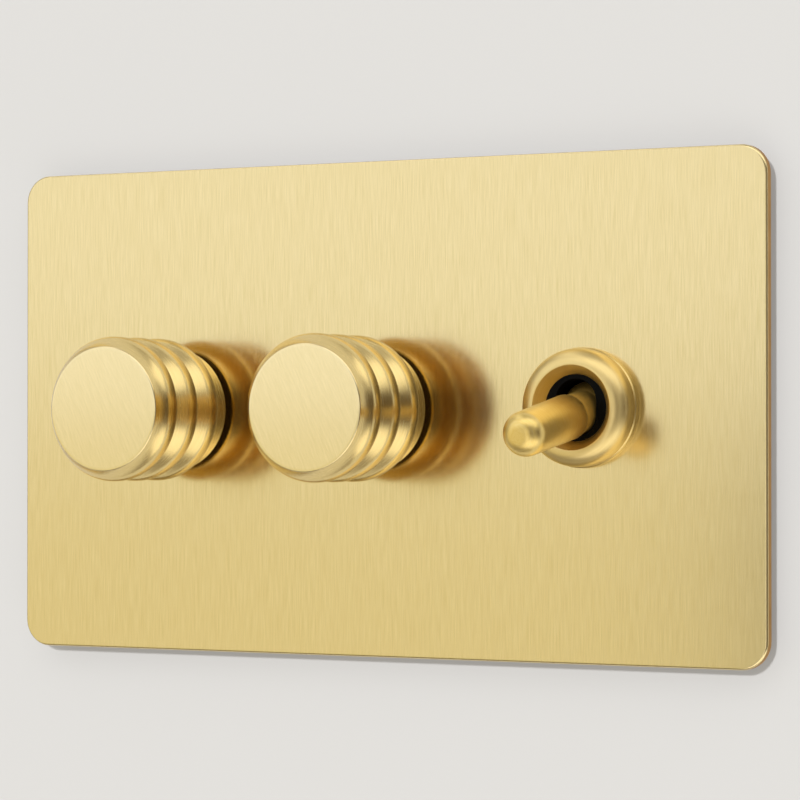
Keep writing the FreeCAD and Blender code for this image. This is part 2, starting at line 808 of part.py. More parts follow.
def toggle_case():
    case = slab(toggle_w, toggle_h, toggle_corner, (bracket_back, toggle_back))
    inner_w = toggle_w - 2 * toggle_wall
    inner_h = toggle_h - 2 * toggle_wall
    case = case.cut(block(middle(inner_w), (bracket_back, toggle_floor_front), middle(inner_h)))
    groove_y = middle(bracket_t + 2 * pocket_gap, grid_back + bracket_arm - bracket_t / 2)
    groove_z = middle(bracket_h + 2 * pocket_gap)
    depth = bracket_tab + pocket_gap
    for x in ((-toggle_w / 2, depth - toggle_w / 2), (toggle_w / 2 - depth, toggle_w / 2)):
        case = case.cut(block(x, groove_y, groove_z))
    pocket_y = (toggle_floor_back, toggle_back)
    pocket_x = (-terminal_far - pocket_gap, screw_seat + pocket_gap)
    screw_y = toggle_floor_back + terminal_len / 2
    for place, z in toggle_places().items():
        case = case.cut(block(pocket_x, pocket_y, middle(terminal_w + 2 * pocket_gap, z)))
        case = case.cut(cross_rod(screw_head_room_r, (0.0, toggle_w / 2), screw_y, z))
        hole = rod(post_d / 2 + pocket_gap, (toggle_floor_front, toggle_floor_back), 0.0, post_z(place))
        case = case.cut(hole)
    return case.removeSplitter()


def post_z(place):
    return {"lower": -contact_z, "common": 0.0, "upper": contact_z}[place]


def toggle_terminal(place):
    z = post_z(place)
    cage = moved(on_toggle(terminal_block(), toggle_places()[place]), -dolly_x)
    post = rod(post_d / 2, (toggle_floor_front, toggle_floor_back), 0.0, z)
    if place == "common":
        contact = knife_edge()
    else:
        contact = rod(pad_d / 2, (pad_front, toggle_floor_front), 0.0, z)
    return cage.fuse(post).fuse(contact).removeSplitter()


def knife_edge():
    """Ridge that the rocker tips on, between two cheeks that keep it in line."""
    apex = rocker_back + rocker_gap
    half_w = rocker_w / 2 + free_gap + cheek_t
    ridge = [(apex, 0.0), (apex + knife_half, knife_half), (toggle_floor_front, knife_half),
             (toggle_floor_front, -knife_half), (apex + knife_half, -knife_half), (apex, 0.0)]
    wire = Part.makePolygon([Vector(-half_w, y, z) for y, z in ridge])
    knife = Part.Face(wire).extrude(Vector(2 * half_w, 0, 0))
    cheek_y = (rocker_front, toggle_floor_front)
    for side in (-1, 1):
        cheek = block(middle(cheek_t, side * (half_w - cheek_t / 2)), cheek_y, middle(2 * knife_half))
        knife = knife.fuse(cheek)
    return knife


def all_parts():
    parts = {
        "front_plate": front_plate(),
        "spacer_frame": spacer_frame(),
        "grid_plate": grid_plate(),
        "earth_terminal": earth_terminal(),
        "bush_nuts": bush_nuts(),
        "lock_washers": lock_washers(),
        "terminal_screws": terminal_screws(),
    }
    dimmer_pieces = {
        "knob": knob(),
        "knob_insert": knob_insert(),
        "spindle": spindle(),
        "bush": dimmer_bush(),
        "heat_plate": heat_plate(),
        "dimmer_case": dimmer_case(),
        "back_cover": back_cover(),
        "potentiometer_cup": potentiometer_cup(),
        "track_disc": track_disc(),
        "wiper_rotor": wiper_rotor(),
        "push_plunger": push_plunger(),
        "push_switch": push_switch(),
        "return_spring": return_spring(),
        "circuit_board": circuit_board(),
        "choke": choke(),
        "capacitor": capacitor(),
        "triac": triac(),
    }
    for side, x in dimmer_places.items():
        for name, shape in dimmer_pieces.items():
            parts[f"{side}_{name}"] = moved(shape, x)
        parts[f"{side}_terminals"] = dimmer_terminals(x)
    dolly_pieces = {
        "bezel_ring": bezel_ring(),
        "dolly_bush": dolly_bush(),
        "dolly_nut": dolly_nut(),
        "dolly": dolly(),
        "pivot_pin": pivot_pin(),
        "dolly_spring": dolly_spring(),
        "dolly_plunger": dolly_plunger(),
        "contact_rocker": contact_rocker(),
        "dolly_bracket": dolly_bracket(),
        "toggle_case": toggle_case(),
        "lower_terminal": toggle_terminal("lower"),
        "common_terminal": toggle_terminal("common"),
        "upper_terminal": toggle_terminal("upper"),
    }
    for name, shape in dolly_pieces.items():
        parts[name] = moved(shape, dolly_x)
    return parts


os.makedirs("parts", exist_ok=True)
for node, shape in all_parts().items():
    shape.exportStep(f"parts/{node}.step")
    print(node, len(shape.Solids), shape.isValid(), round(shape.Volume, 2))
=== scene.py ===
import json
from math import atan2, copysign, cos, hypot, pi, radians, sin, sqrt, tan

import bmesh
import bpy
from mathutils import Matrix, Vector


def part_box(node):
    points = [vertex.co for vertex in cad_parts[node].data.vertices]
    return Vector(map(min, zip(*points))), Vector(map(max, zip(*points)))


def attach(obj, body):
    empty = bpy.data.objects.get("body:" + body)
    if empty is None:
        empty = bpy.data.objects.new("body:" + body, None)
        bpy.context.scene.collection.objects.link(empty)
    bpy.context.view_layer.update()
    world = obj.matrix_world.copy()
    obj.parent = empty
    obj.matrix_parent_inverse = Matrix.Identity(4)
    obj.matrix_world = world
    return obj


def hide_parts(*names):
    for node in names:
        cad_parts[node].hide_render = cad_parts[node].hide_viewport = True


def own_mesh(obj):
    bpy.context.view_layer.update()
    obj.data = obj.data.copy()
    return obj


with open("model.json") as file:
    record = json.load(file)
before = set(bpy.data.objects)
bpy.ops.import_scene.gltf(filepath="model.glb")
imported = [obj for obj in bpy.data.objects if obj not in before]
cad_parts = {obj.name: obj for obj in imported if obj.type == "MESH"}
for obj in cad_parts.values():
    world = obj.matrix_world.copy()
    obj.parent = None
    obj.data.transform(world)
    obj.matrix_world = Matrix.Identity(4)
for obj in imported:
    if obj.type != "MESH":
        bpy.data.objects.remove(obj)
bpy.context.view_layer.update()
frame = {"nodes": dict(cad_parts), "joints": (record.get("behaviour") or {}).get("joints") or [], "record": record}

mm = 0.001
print("frame loaded:", len(frame["nodes"]), "nodes")


# node helpers
def addNode(tree, kind, **settings):
    node = tree.nodes.new(kind)
    for key, value in settings.items():
        setattr(node, key, value)
    return node


def join(tree, source, target):
    tree.links.new(source, target)


def vectorStep(tree, operation, first, second=None):
    step = addNode(tree, "ShaderNodeVectorMath", operation=operation)
    join(tree, first, step.inputs[0])
    if isinstance(second, tuple):
        step.inputs[1].default_value = second
    elif second is not None:
        join(tree, second, step.inputs[1])
    return step.outputs["Value"] if operation == "LENGTH" else step.outputs["Vector"]


def mathStep(tree, operation, first, second):
    step = addNode(tree, "ShaderNodeMath", operation=operation)
    join(tree, first, step.inputs[0])
    if isinstance(second, (int, float)):
        step.inputs[1].default_value = second
    else:
        join(tree, second, step.inputs[1])
    return step.outputs[0]


def noise(tree, vector, detail, dimensions="3D"):
    cloud = addNode(tree, "ShaderNodeTexNoise", noise_dimensions=dimensions)
    cloud.inputs["Scale"].default_value = 1             # the size comes with the vector, or by a link
    cloud.inputs["Detail"].default_value = detail
    join(tree, vector, cloud.inputs["Vector"])
    return cloud


# noise sits round 0.5, so its middle part is stretched over the two ends
def spread(tree, value, low, high, start=0.32, end=0.68):
    step = addNode(tree, "ShaderNodeMapRange")
    join(tree, value, step.inputs["Value"])
    for label, number in (("From Min", start), ("From Max", end), ("To Min", low), ("To Max", high)):
        step.inputs[label].default_value = number
    return step.outputs["Result"]


# a Mix node's sockets: inputs 2 and 3 are values, 6 and 7 colours; output 0 is the value, 2 the colour
def blendColours(tree, mask, first, second):
    step = addNode(tree, "ShaderNodeMix", data_type="RGBA")
    join(tree, mask, step.inputs[0])
    for socket, colour in ((step.inputs[6], first), (step.inputs[7], second)):
        if isinstance(colour, tuple):
            socket.default_value = (*colour, 1)
        else:
            join(tree, colour, socket)
    return step.outputs[2]


def blendValues(tree, mask, first, second):
    step = addNode(tree, "ShaderNodeMix", data_type="FLOAT")
    join(tree, mask, step.inputs[0])
    join(tree, first, step.inputs[2])
    join(tree, second, step.inputs[3])
    return step.outputs[0]


def startGroup(name, numbers, outputs):
    tree = bpy.data.node_groups.new(name, "ShaderNodeTree")
    tree.interface.new_socket("Vector", in_out="INPUT", socket_type="NodeSocketVector")
    for label, number in numbers.items():
        socket = tree.interface.new_socket(label, in_out="INPUT", socket_type="NodeSocketFloat")
        socket.default_value = number
    for label in outputs:
        tree.interface.new_socket(label, in_out="OUTPUT", socket_type="NodeSocketFloat")
    return tree, tree.nodes.new("NodeGroupInput").outputs, tree.nodes.new("NodeGroupOutput").inputs


# how much finer the hairlines are than the lines they lie in
hairFiner = {"brushed": (1.6, 4.0, 4.0), "turned": (2.9, 2.9, 3.0)}


# straight brush lines that run along Z and lie side by side along X
def makeBrushLines():
    tree, given, out = startGroup("brushLines", {"Across": 2500, "Along": 40}, ("Streak", "Hairline"))
    stretch = addNode(tree, "ShaderNodeCombineXYZ")
    join(tree, given["Across"], stretch.inputs["X"])
    join(tree, given["Along"], stretch.inputs["Y"])
    join(tree, given["Along"], stretch.inputs["Z"])
    scaled = vectorStep(tree, "MULTIPLY", given["Vector"], stretch.outputs["Vector"])
    join(tree, noise(tree, scaled, detail=3).outputs[0], out["Streak"])
    finer = vectorStep(tree, "MULTIPLY", scaled, hairFiner["brushed"])
    join(tree, noise(tree, finer, detail=2).outputs[0], out["Hairline"])
    return tree


# tool lines round the Y axis, as a lathe leaves them
def makeTurningLines():
    tree, given, out = startGroup("turningLines", {"Across": 3000, "Around": 1.2},
                                  ("Ring", "Hairline", "Radius"))
    flat = vectorStep(tree, "MULTIPLY", given["Vector"], (1, 0, 1))
    radius = vectorStep(tree, "LENGTH", flat)
    facing = addNode(tree, "ShaderNodeSeparateXYZ")
    join(tree, vectorStep(tree, "NORMALIZE", flat), facing.inputs[0])
    place = addNode(tree, "ShaderNodeSeparateXYZ")
    join(tree, given["Vector"], place.inputs[0])
    lines = addNode(tree, "ShaderNodeCombineXYZ")
    join(tree, mathStep(tree, "MULTIPLY", radius, given["Across"]), lines.inputs["X"])
    join(tree, mathStep(tree, "MULTIPLY", place.outputs["Y"], given["Across"]), lines.inputs["Y"])
    join(tree, mathStep(tree, "MULTIPLY", facing.outputs["X"], given["Around"]), lines.inputs["Z"])
    side = mathStep(tree, "MULTIPLY", facing.outputs["Z"], given["Around"])
    ring = noise(tree, lines.outputs["Vector"], detail=2, dimensions="4D")
    join(tree, side, ring.inputs["W"])
    join(tree, ring.outputs[0], out["Ring"])
    finer = vectorStep(tree, "MULTIPLY", lines.outputs["Vector"], hairFiner["turned"])
    hair = noise(tree, finer, detail=2, dimensions="4D")
    join(tree, side, hair.inputs["W"])
    join(tree, hair.outputs[0], out["Hairline"])
    join(tree, radius, out["Radius"])
    return tree


# fine grain over slow mottling, for mouldings, plating and castings
def makeSurfaceGrain():
    tree, given, out = startGroup("surfaceGrain", {"Fine": 4000, "Slow": 120}, ("Grain", "Mottle"))
    for label, source, detail in (("Grain", "Fine", 2), ("Mottle", "Slow", 4)):     # output, size, detail
        cloud = noise(tree, given["Vector"], detail)
        join(tree, given[source], cloud.inputs["Scale"])
        join(tree, cloud.outputs[0], out[label])
    return tree


brushLines = makeBrushLines()
turningLines = makeTurningLines()
surfaceGrain = makeSurfaceGrain()
print("shared finishes ready")


def startMaterial(name, **sockets):
    material = bpy.data.materials.new(name)
    material.use_nodes = True
    tree = material.node_tree
    shader = tree.nodes["Principled BSDF"]
    for label, value in sockets.items():
        shader.inputs[label].default_value = value
    return material, tree, shader, addNode(tree, "ShaderNodeTexCoord").outputs["Object"]


def useGroup(tree, group, vector, **numbers):
    node = addNode(tree, "ShaderNodeGroup", node_tree=group)
    join(tree, vector, node.inputs["Vector"])
    for label, number in numbers.items():
        node.inputs[label].default_value = number
    return node.outputs


# the pattern's own place: measured from a centre, along turned axes
def fromCentre(tree, vector, centre, turn=(0, 0, 0)):
    aim = addNode(tree, "ShaderNodeMapping", vector_type="TEXTURE")
    aim.inputs["Location"].default_value = centre
    aim.inputs["Rotation"].default_value = turn
    join(tree, vector, aim.inputs["Vector"])
    return aim.outputs["Vector"]


def ripple(tree, shader, height, strength, depth):
    bump = addNode(tree, "ShaderNodeBump")
    bump.inputs["Strength"].default_value = strength
    bump.inputs["Distance"].default_value = depth
    join(tree, height, bump.inputs["Height"])
    join(tree, bump.outputs["Normal"], shader.inputs["Normal"])


# front plate: satin brass sheet, brushed from top to bottom
plateFinish = {
    "deep": (0.776, 0.639, 0.328), "pale": (0.858, 0.722, 0.410),
    "across": 8400, "along": 170, "smooth": 0.145, "rough": 0.20,
    "stretch": 0.30, "bump": 0.06, "depth": 0.02 * mm,
    # painted shade: the plate's edge is painted darker than the front
    "edgeFrom": 0.30 * mm, "edgeShadeDeep": (0.40, 0.21, 0.045), "edgeShadePale": (0.48, 0.26, 0.065),
    "edgeSmooth": 0.38, "edgeRough": 0.46,
}


def plateBrass():
    f = plateFinish
    material, tree, shader, place = startMaterial("plateBrass", Metallic=1.0, Anisotropic=f["stretch"])
    lines = useGroup(tree, brushLines, place, Across=f["across"], Along=f["along"])
    streak = spread(tree, lines["Streak"], 0, 1)
    depth = addNode(tree, "ShaderNodeSeparateXYZ")
    join(tree, place, depth.inputs[0])
    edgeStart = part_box("front_plate")[0].y + f["edgeFrom"]
    dullAndShadedEdge = mathStep(tree, "GREATER_THAN", depth.outputs["Y"], edgeStart)     # painted shade on the edge: darker than the front, and duller
    onFront = blendColours(tree, streak, f["deep"], f["pale"])
    onEdge = blendColours(tree, streak, f["edgeShadeDeep"], f["edgeShadePale"])
    join(tree, blendColours(tree, dullAndShadedEdge, onFront, onEdge), shader.inputs["Base Color"])
    satin = spread(tree, lines["Hairline"], f["smooth"], f["rough"])
    duller = spread(tree, lines["Hairline"], f["edgeSmooth"], f["edgeRough"])
    join(tree, blendValues(tree, dullAndShadedEdge, satin, duller), shader.inputs["Roughness"])
    ripple(tree, shader, lines["Hairline"], f["bump"], f["depth"])
    grain = addNode(tree, "ShaderNodeTangent", direction_type="RADIAL", axis="X")
    join(tree, grain.outputs[0], shader.inputs["Tangent"])
    return material


# turned brass: knobs, ring and dolly, each with its lines round its own axis
turnedFinish = {
    "deep": (0.815, 0.630, 0.270), "pale": (0.850, 0.668, 0.305),
    "across": 5200, "around": 2.0, "bump": 0.006, "depth": 0.02 * mm,
    "faceDeep": (0.86, 0.72, 0.40), "facePale": (0.91, 0.77, 0.45),
    "faceSmooth": 0.11, "faceRough": 0.15,
    "faceAcross": 8200, "faceAlong": 420, "faceTurn": radians(-24),
}


def turnedBrass(name, centre, satin, turn=(0, 0, 0), faceDepth=None, dull=None, tones=None,
                lands=None, paintedMirrorShade=None):
    f = turnedFinish
    deep, pale = tones or (f["deep"], f["pale"])
    material, tree, shader, place = startMaterial(name, Metallic=1.0)
    own = fromCentre(tree, place, centre, turn)
    lines = useGroup(tree, turningLines, own, Across=f["across"], Around=f["around"])
    colour = blendColours(tree, spread(tree, lines["Ring"], 0, 1), deep, pale)
    rough = spread(tree, lines["Hairline"], *satin)
    height = lines["Hairline"]
    depth = addNode(tree, "ShaderNodeSeparateXYZ")
    join(tree, own, depth.inputs[0])
    if dull:                                            # unpolished behind this depth, and painted a more saturated gold as reflection
        behind = mathStep(tree, "GREATER_THAN", depth.outputs["Y"], dull["from"])
        rough = blendValues(tree, behind, rough, spread(tree, lines["Hairline"], *dull["satin"]))
        colour = blendColours(tree, behind, colour, dull["colour"])
    if lands:                                           # painted shade: the tops of the crests are painted deeper
        onLand = spread(tree, lines["Radius"], 0, 1, lands["from"], lands["to"])
        colour = blendColours(tree, onLand, colour, lands["colour"])
    if faceDepth is not None:                           # the flat face is finer, and brushed straight
        face = useGroup(tree, brushLines, fromCentre(tree, own, (0, 0, 0), (0, f["faceTurn"], 0)),
                        Across=f["faceAcross"], Along=f["faceAlong"])
        onFace = mathStep(tree, "LESS_THAN", depth.outputs["Y"], faceDepth)
        faceColour = blendColours(tree, spread(tree, face["Streak"], 0, 1), f["faceDeep"], f["facePale"])
        faceRough = spread(tree, face["Hairline"], f["faceSmooth"], f["faceRough"])
        colour = blendColours(tree, onFace, colour, faceColour)
        rough = blendValues(tree, onFace, rough, faceRough)
        height = blendValues(tree, onFace, height, face["Hairline"])
    if paintedMirrorShade:                                        # painted shade: darker wherever another piece mirrors it
        inMirror = addNode(tree, "ShaderNodeLightPath").outputs["Is Glossy Ray"]
        colour = blendColours(tree, inMirror, colour, paintedMirrorShade)
    join(tree, colour, shader.inputs["Base Color"])
    join(tree, rough, shader.inputs["Roughness"])
    ripple(tree, shader, height, f["bump"], f["depth"])
    return material


# plain finishes of the pieces behind the plate
plainDepth = 0.05 * mm
plainShine = 0.5
plainFinishes = {
    "plain_brass": dict(deep=(0.62, 0.47, 0.20), pale=(0.76, 0.60, 0.29), metal=1.0,
                        smooth=0.22, rough=0.40, fine=5200, slow=260, bump=0.08),
    "plated_steel": dict(deep=(0.50, 0.51, 0.52), pale=(0.66, 0.67, 0.68), metal=1.0,
                         smooth=0.24, rough=0.42, fine=4800, slow=170, bump=0.06),
    "black_bush": dict(deep=(0.001, 0.001, 0.001), pale=(0.003, 0.003, 0.003), metal=0.0,
                       smooth=0.36, rough=0.48, fine=6000, slow=300, bump=0.05, shine=0.06),
    "black_moulding": dict(deep=(0.014, 0.014, 0.015), pale=(0.028, 0.028, 0.029), metal=0.0,
                           smooth=0.44, rough=0.62, fine=5600, slow=140, bump=0.16),
    "pale_nylon": dict(deep=(0.66, 0.64, 0.57), pale=(0.76, 0.74, 0.67), metal=0.0,
                       smooth=0.38, rough=0.52, fine=4200, slow=200, bump=0.06),
    "aluminium": dict(deep=(0.58, 0.59, 0.60), pale=(0.72, 0.73, 0.74), metal=1.0,
                      smooth=0.30, rough=0.46, fine=4400, slow=150, bump=0.08),
    "board_laminate": dict(deep=(0.030, 0.115, 0.045), pale=(0.045, 0.155, 0.065), metal=0.0,
                           smooth=0.34, rough=0.50, fine=3000, slow=400, bump=0.10),
    "yellow_film": dict(deep=(0.60, 0.40, 0.045), pale=(0.70, 0.49, 0.075), metal=0.0,
                        smooth=0.32, rough=0.44, fine=3600, slow=220, bump=0.05),
    "copper_winding": dict(deep=(0.30, 0.105, 0.040), pale=(0.50, 0.20, 0.085), metal=0.7,
                           smooth=0.26, rough=0.42, fine=2600, slow=500, bump=0.20),
    "black_epoxy": dict(deep=(0.016, 0.016, 0.017), pale=(0.032, 0.032, 0.033), metal=0.0,
                        smooth=0.30, rough=0.48, fine=5000, slow=260, bump=0.10),
}


def plainFinish(slot):
    f = plainFinishes[slot]
    material, tree, shader, place = startMaterial(slot, Metallic=f["metal"])
    shader.inputs["Specular IOR Level"].default_value = f.get("shine", plainShine)
    grain = useGroup(tree, surfaceGrain, place, Fine=f["fine"], Slow=f["slow"])
    colour = blendColours(tree, spread(tree, grain["Mottle"], 0, 1), f["deep"], f["pale"])
    join(tree, colour, shader.inputs["Base Color"])
    join(tree, spread(tree, grain["Grain"], f["smooth"], f["rough"]), shader.inputs["Roughness"])
    ripple(tree, shader, grain["Grain"], f["bump"], plainDepth)
    return material


# how meshes are merged, matched, rounded and shaded
mergeDistance = 0.0005 * mm
ringTolerance = 0.002 * mm
edgeSteps = 2
sharpAngle = radians(30)


def addObject(name, data):
    thing = bpy.data.objects.new(name, data)
    bpy.context.scene.collection.objects.link(thing)
    return thing


def meshObject(name, bm, material):
    mesh = bpy.data.meshes.new(name)
    bm.to_mesh(mesh)
    bm.free()
    mesh.materials.append(material)
    return addObject(name, mesh)


def closeMesh(bm):
    bmesh.ops.remove_doubles(bm, verts=bm.verts, dist=mergeDistance)
    bmesh.ops.recalc_face_normals(bm, faces=bm.faces)


# a profile of (radius, depth) runs and arcs, spun round the Y axis
def turnedMesh(start, moves, ringSteps):
    bm = bmesh.new()
    tip = bm.verts.new((start[0], start[1], 0))
    for move in moves:
        if len(move) == 2:                              # straight run to (radius, depth)
            tip = bmesh.ops.extrude_vert_indiv(bm, verts=[tip])["verts"][0]
            tip.co = (move[0], move[1], 0)
        else:                                           # arc about (radius, depth), by an angle in steps
            swept = bmesh.ops.spin(bm, geom=[tip], cent=(move[0], move[1], 0), axis=(0, 0, 1),
                                   dvec=(0, 0, 0), angle=move[2], steps=move[3])
            tip = [g for g in swept["geom_last"] if isinstance(g, bmesh.types.BMVert)][0]
    bmesh.ops.spin(bm, geom=bm.verts[:] + bm.edges[:], cent=(0, 0, 0), axis=(0, 1, 0), dvec=(0, 0, 0),
                   angle=2 * pi, steps=ringSteps, use_merge=True)
    closeMesh(bm)
    return bm


def ringEdges(bm, radius, depth):
    def onRing(v):
        offRadius, offDepth = hypot(v.co.x, v.co.z) - radius, v.co.y - depth
        return abs(offRadius) < ringTolerance and abs(offDepth) < ringTolerance
    return [e for e in bm.edges if all(onRing(v) for v in e.verts)]


def roundRings(bm, rings, amount):
    edges = [e for radius, depth in rings for e in ringEdges(bm, radius, depth)]
    bmesh.ops.bevel(bm, geom=edges, offset=amount, segments=edgeSteps, profile=0.5,
                    affect="EDGES", material=-1)


def finishPiece(name, bm, body, material, stands):
    piece = meshObject(name, bm, material)
    piece.data.shade_smooth()
    piece.data.set_sharp_from_angle(angle=sharpAngle)
    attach(piece, body)
    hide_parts(stands)
    return piece


# dimmer knobs: three crests, each with a sloped front, a round shoulder and a short land
knob = {
    "faceRadius": 10.8 * mm, "crests": 3, "crestPitch": 6.65 * mm, "crestRise": 1.75 * mm,
    "crestSlope": radians(38), "crestRound": 2.6 * mm, "crestLand": 0.7 * mm, "crestEdge": 0.12 * mm,
    "edge": 0.25 * mm, "edgeRound": 0.045 * mm, "faceRim": 0.3 * mm, "rimSteps": 5,
    "recessRadius": 8.783 * mm, "recessDepth": 8.0 * mm,
    "sleeveRadius": 4.55 * mm, "sleeveLength": 9.2 * mm,
    "ringSteps": 192, "shoulderSteps": 10, "satin": (0.245, 0.275), "faceReach": 0.1 * mm,
    # painted shade: the crest tops are painted darker
    # painted shade: the last colour is the knob as seen in mirrors
    "landReach": 0.2 * mm, "landPaintedShade": (0.58, 0.44, 0.20), "paintedMirrorShade": (0.62, 0.43, 0.135),
}


def buildKnob(side):
    k = knob
    low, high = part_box(f"{side}_knob")
    front, back = low.y, high.y
    middleX = (low.x + high.x) / 2
    root, slope, shoulder = k["faceRadius"], k["crestSlope"], k["crestRound"]
    crest = root + k["crestRise"]
    slopeRise = k["crestRise"] - shoulder * (1 - cos(slope))
    slopeLength = slopeRise / tan(slope)
    moves = [(root - k["edge"] - k["faceRim"], front), (root - k["edge"], front),
             (root - k["edge"], front + k["edge"], pi / 2, k["rimSteps"])]
    creases = []
    for count in range(k["crests"]):
        startY = front + k["edge"] + count * k["crestPitch"]
        landY = startY + slopeLength + shoulder * sin(slope)
        backY = landY + k["crestLand"] + k["crestEdge"]
        corners = [(crest, backY - k["crestEdge"]), (crest - k["crestEdge"], backY)]
        if count:
            moves.append((root, startY))
        moves += [(root + slopeRise, startY + slopeLength),
                  (crest - shoulder, landY, slope, k["shoulderSteps"]), *corners, (root, backY)]
        creases += corners
    floor = back - k["recessDepth"]
    end = floor - k["sleeveLength"]
    moves += [(root, back - k["edge"]), (root - k["edge"], back), (k["recessRadius"], back),
              (k["recessRadius"], floor), (k["sleeveRadius"], floor), (k["sleeveRadius"], end), (0, end)]
    bm = turnedMesh((0, front), moves, k["ringSteps"])
    roundRings(bm, creases, k["edgeRound"])
    bmesh.ops.translate(bm, verts=bm.verts, vec=(middleX, 0, 0))
    brass = turnedBrass(f"{side}KnobBrass", (middleX, 0, 0), k["satin"], faceDepth=front + k["faceReach"],
                        lands={"from": crest - k["landReach"], "to": crest, "colour": k["landPaintedShade"]},
                        paintedMirrorShade=k["paintedMirrorShade"])
    finishPiece(f"{side}KnobTurned", bm, f"{side}_knob_shaft", brass, f"{side}_knob")


sides = ("left", "middle")
for side in sides:
    buildKnob(side)
print("knobs turned")

# bezel ring: rounded front, sharp mouth, cone down to the bush
ring = {
    "flangeRadius": 10.1 * mm, "flangeHeight": 1.15 * mm, "radius": 9.9 * mm, "crown": 2.7 * mm,
    "land": 0.1 * mm, "throatRadius": 5.6 * mm, "throatDepth": 2.0 * mm, "threadRadius": 6.1 * mm,
    "edgeRound": 0.07 * mm, "chamfer": 0.2 * mm, "ringSteps": 192, "crownSteps": 14,
    "satin": (0.32, 0.42),
}


def buildRing():
    r = ring
    low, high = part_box("bezel_ring")
    front, back = low.y, high.y
    middleX = (low.x + high.x) / 2
    crown = r["radius"] - r["crown"]
    mouth = crown - r["land"]
    shoulder = front + r["crown"]
    step = back - r["flangeHeight"]
    throat = front + r["throatDepth"]
    flangeEdge = (r["flangeRadius"], step + r["chamfer"])
    moves = [(r["flangeRadius"], back), flangeEdge, (r["radius"], step), (r["radius"], shoulder),
             (crown, shoulder, -pi / 2, r["crownSteps"]), (mouth, front), (r["throatRadius"], throat),
             (r["threadRadius"], throat), (r["threadRadius"], back)]
    bm = turnedMesh((r["threadRadius"], back), moves, r["ringSteps"])
    roundRings(bm, [flangeEdge, (mouth, front)], r["edgeRound"])
    bmesh.ops.translate(bm, verts=bm.verts, vec=(middleX, 0, 0))
    brass = turnedBrass("ringBrass", (middleX, 0, 0), r["satin"])
    finishPiece("bezelRingTurned", bm, "plate_assembly", brass, "bezel_ring")


buildRing()
print("ring turned")

# dolly: ball and tail behind the bush, neck, tapered grip and rounded nose
dolly = {
    "joint": "dolly_tilt", "tilt": radians(10),
    "neckRadius": 3.45 * mm, "neckLength": 9.1 * mm, "rearRadius": 3.85 * mm, "gripRadius": 3.75 * mm,
    "gripLength": 16.1 * mm, "noseFlat": 1.0 * mm, "edge": 0.35 * mm, "ballRadius": 4.55 * mm,
    "tailRadius": 3.0 * mm, "tailLength": 7.5 * mm, "boreRadius": 1.7 * mm, "boreLength": 5.5 * mm,
    "edgeRound": 0.09 * mm, "ringSteps": 128, "noseSteps": 16, "ballSteps": 12, "satin": (0.31, 0.40),
    # painted reflection: the neck and ball take a more saturated gold
    "neckSatin": (0.54, 0.64), "neckPaintedReflection": (0.90, 0.62, 0.16),
    # painted shade: the last colour is the dolly as seen in mirrors
    "tones": ((0.84, 0.62, 0.20), (0.90, 0.69, 0.27)), "paintedMirrorShade": (0.74, 0.52, 0.16),
}


def buildDolly():
    d = dolly
    pivot = next(joint["pos_m"] for joint in frame["joints"] if joint["name"] == d["joint"])
    neck, rear, grip, flat = d["neckRadius"], d["rearRadius"], d["gripRadius"], d["noseFlat"]
    noseStart = d["neckLength"] + d["gripLength"]
    nose = grip - flat
    ballNeck = sqrt(d["ballRadius"] ** 2 - neck ** 2)
    ballTail = sqrt(d["ballRadius"] ** 2 - d["tailRadius"] ** 2)
    ballTurn = atan2(ballNeck, neck) + atan2(ballTail, d["tailRadius"])
    boreEnd = d["tailLength"] - d["boreLength"]
    neckEnd = -d["neckLength"]
    corners = [(rear, neckEnd - d["edge"]), (rear - d["edge"], neckEnd)]
    moves = [(flat, -noseStart - nose), (flat, -noseStart, pi / 2, d["noseSteps"]), *corners,
             (neck, neckEnd), (neck, -ballNeck), (0, 0, ballTurn, d["ballSteps"]),
             (d["tailRadius"], d["tailLength"]), (d["boreRadius"], d["tailLength"]),
             (d["boreRadius"], boreEnd), (0, boreEnd)]
    bm = turnedMesh((0, -noseStart - nose), moves, d["ringSteps"])
    roundRings(bm, corners, d["edgeRound"])
    bmesh.ops.rotate(bm, verts=bm.verts, cent=(0, 0, 0), matrix=Matrix.Rotation(d["tilt"], 3, "X"))
    bmesh.ops.translate(bm, verts=bm.verts, vec=pivot)
    dull = {"from": neckEnd - d["edge"] / 2, "satin": d["neckSatin"], "colour": d["neckPaintedReflection"]}
    brass = turnedBrass("dollyBrass", pivot, d["satin"], (d["tilt"], 0, 0), dull=dull,
                        tones=d["tones"], paintedMirrorShade=d["paintedMirrorShade"])
    finishPiece("dollyTurned", bm, "dolly_lever", brass, "dolly")


buildDolly()
print("dolly turned")

# the other CAD nodes take a finish by their slot
finishes = {slot: plainFinish(slot) for slot in plainFinishes}
finishes["brushed_brass"] = plateBrass()
dressed = [part for part in frame["record"]["subparts"] if part["material_slot"] in finishes]
for part in dressed:
    node = frame["nodes"][part["node"]]
    node.data.materials.clear()
    node.data.materials.append(finishes[part["material_slot"]])
print("finishes set on", len(dressed), "nodes")

# return springs behind the push plungers: round wire, as long as their CAD parts
spring = {"wire": 0.5 * mm, "wireSides": 12, "turns": 4, "turnSteps": 40, "stroke": 1.0 * mm}


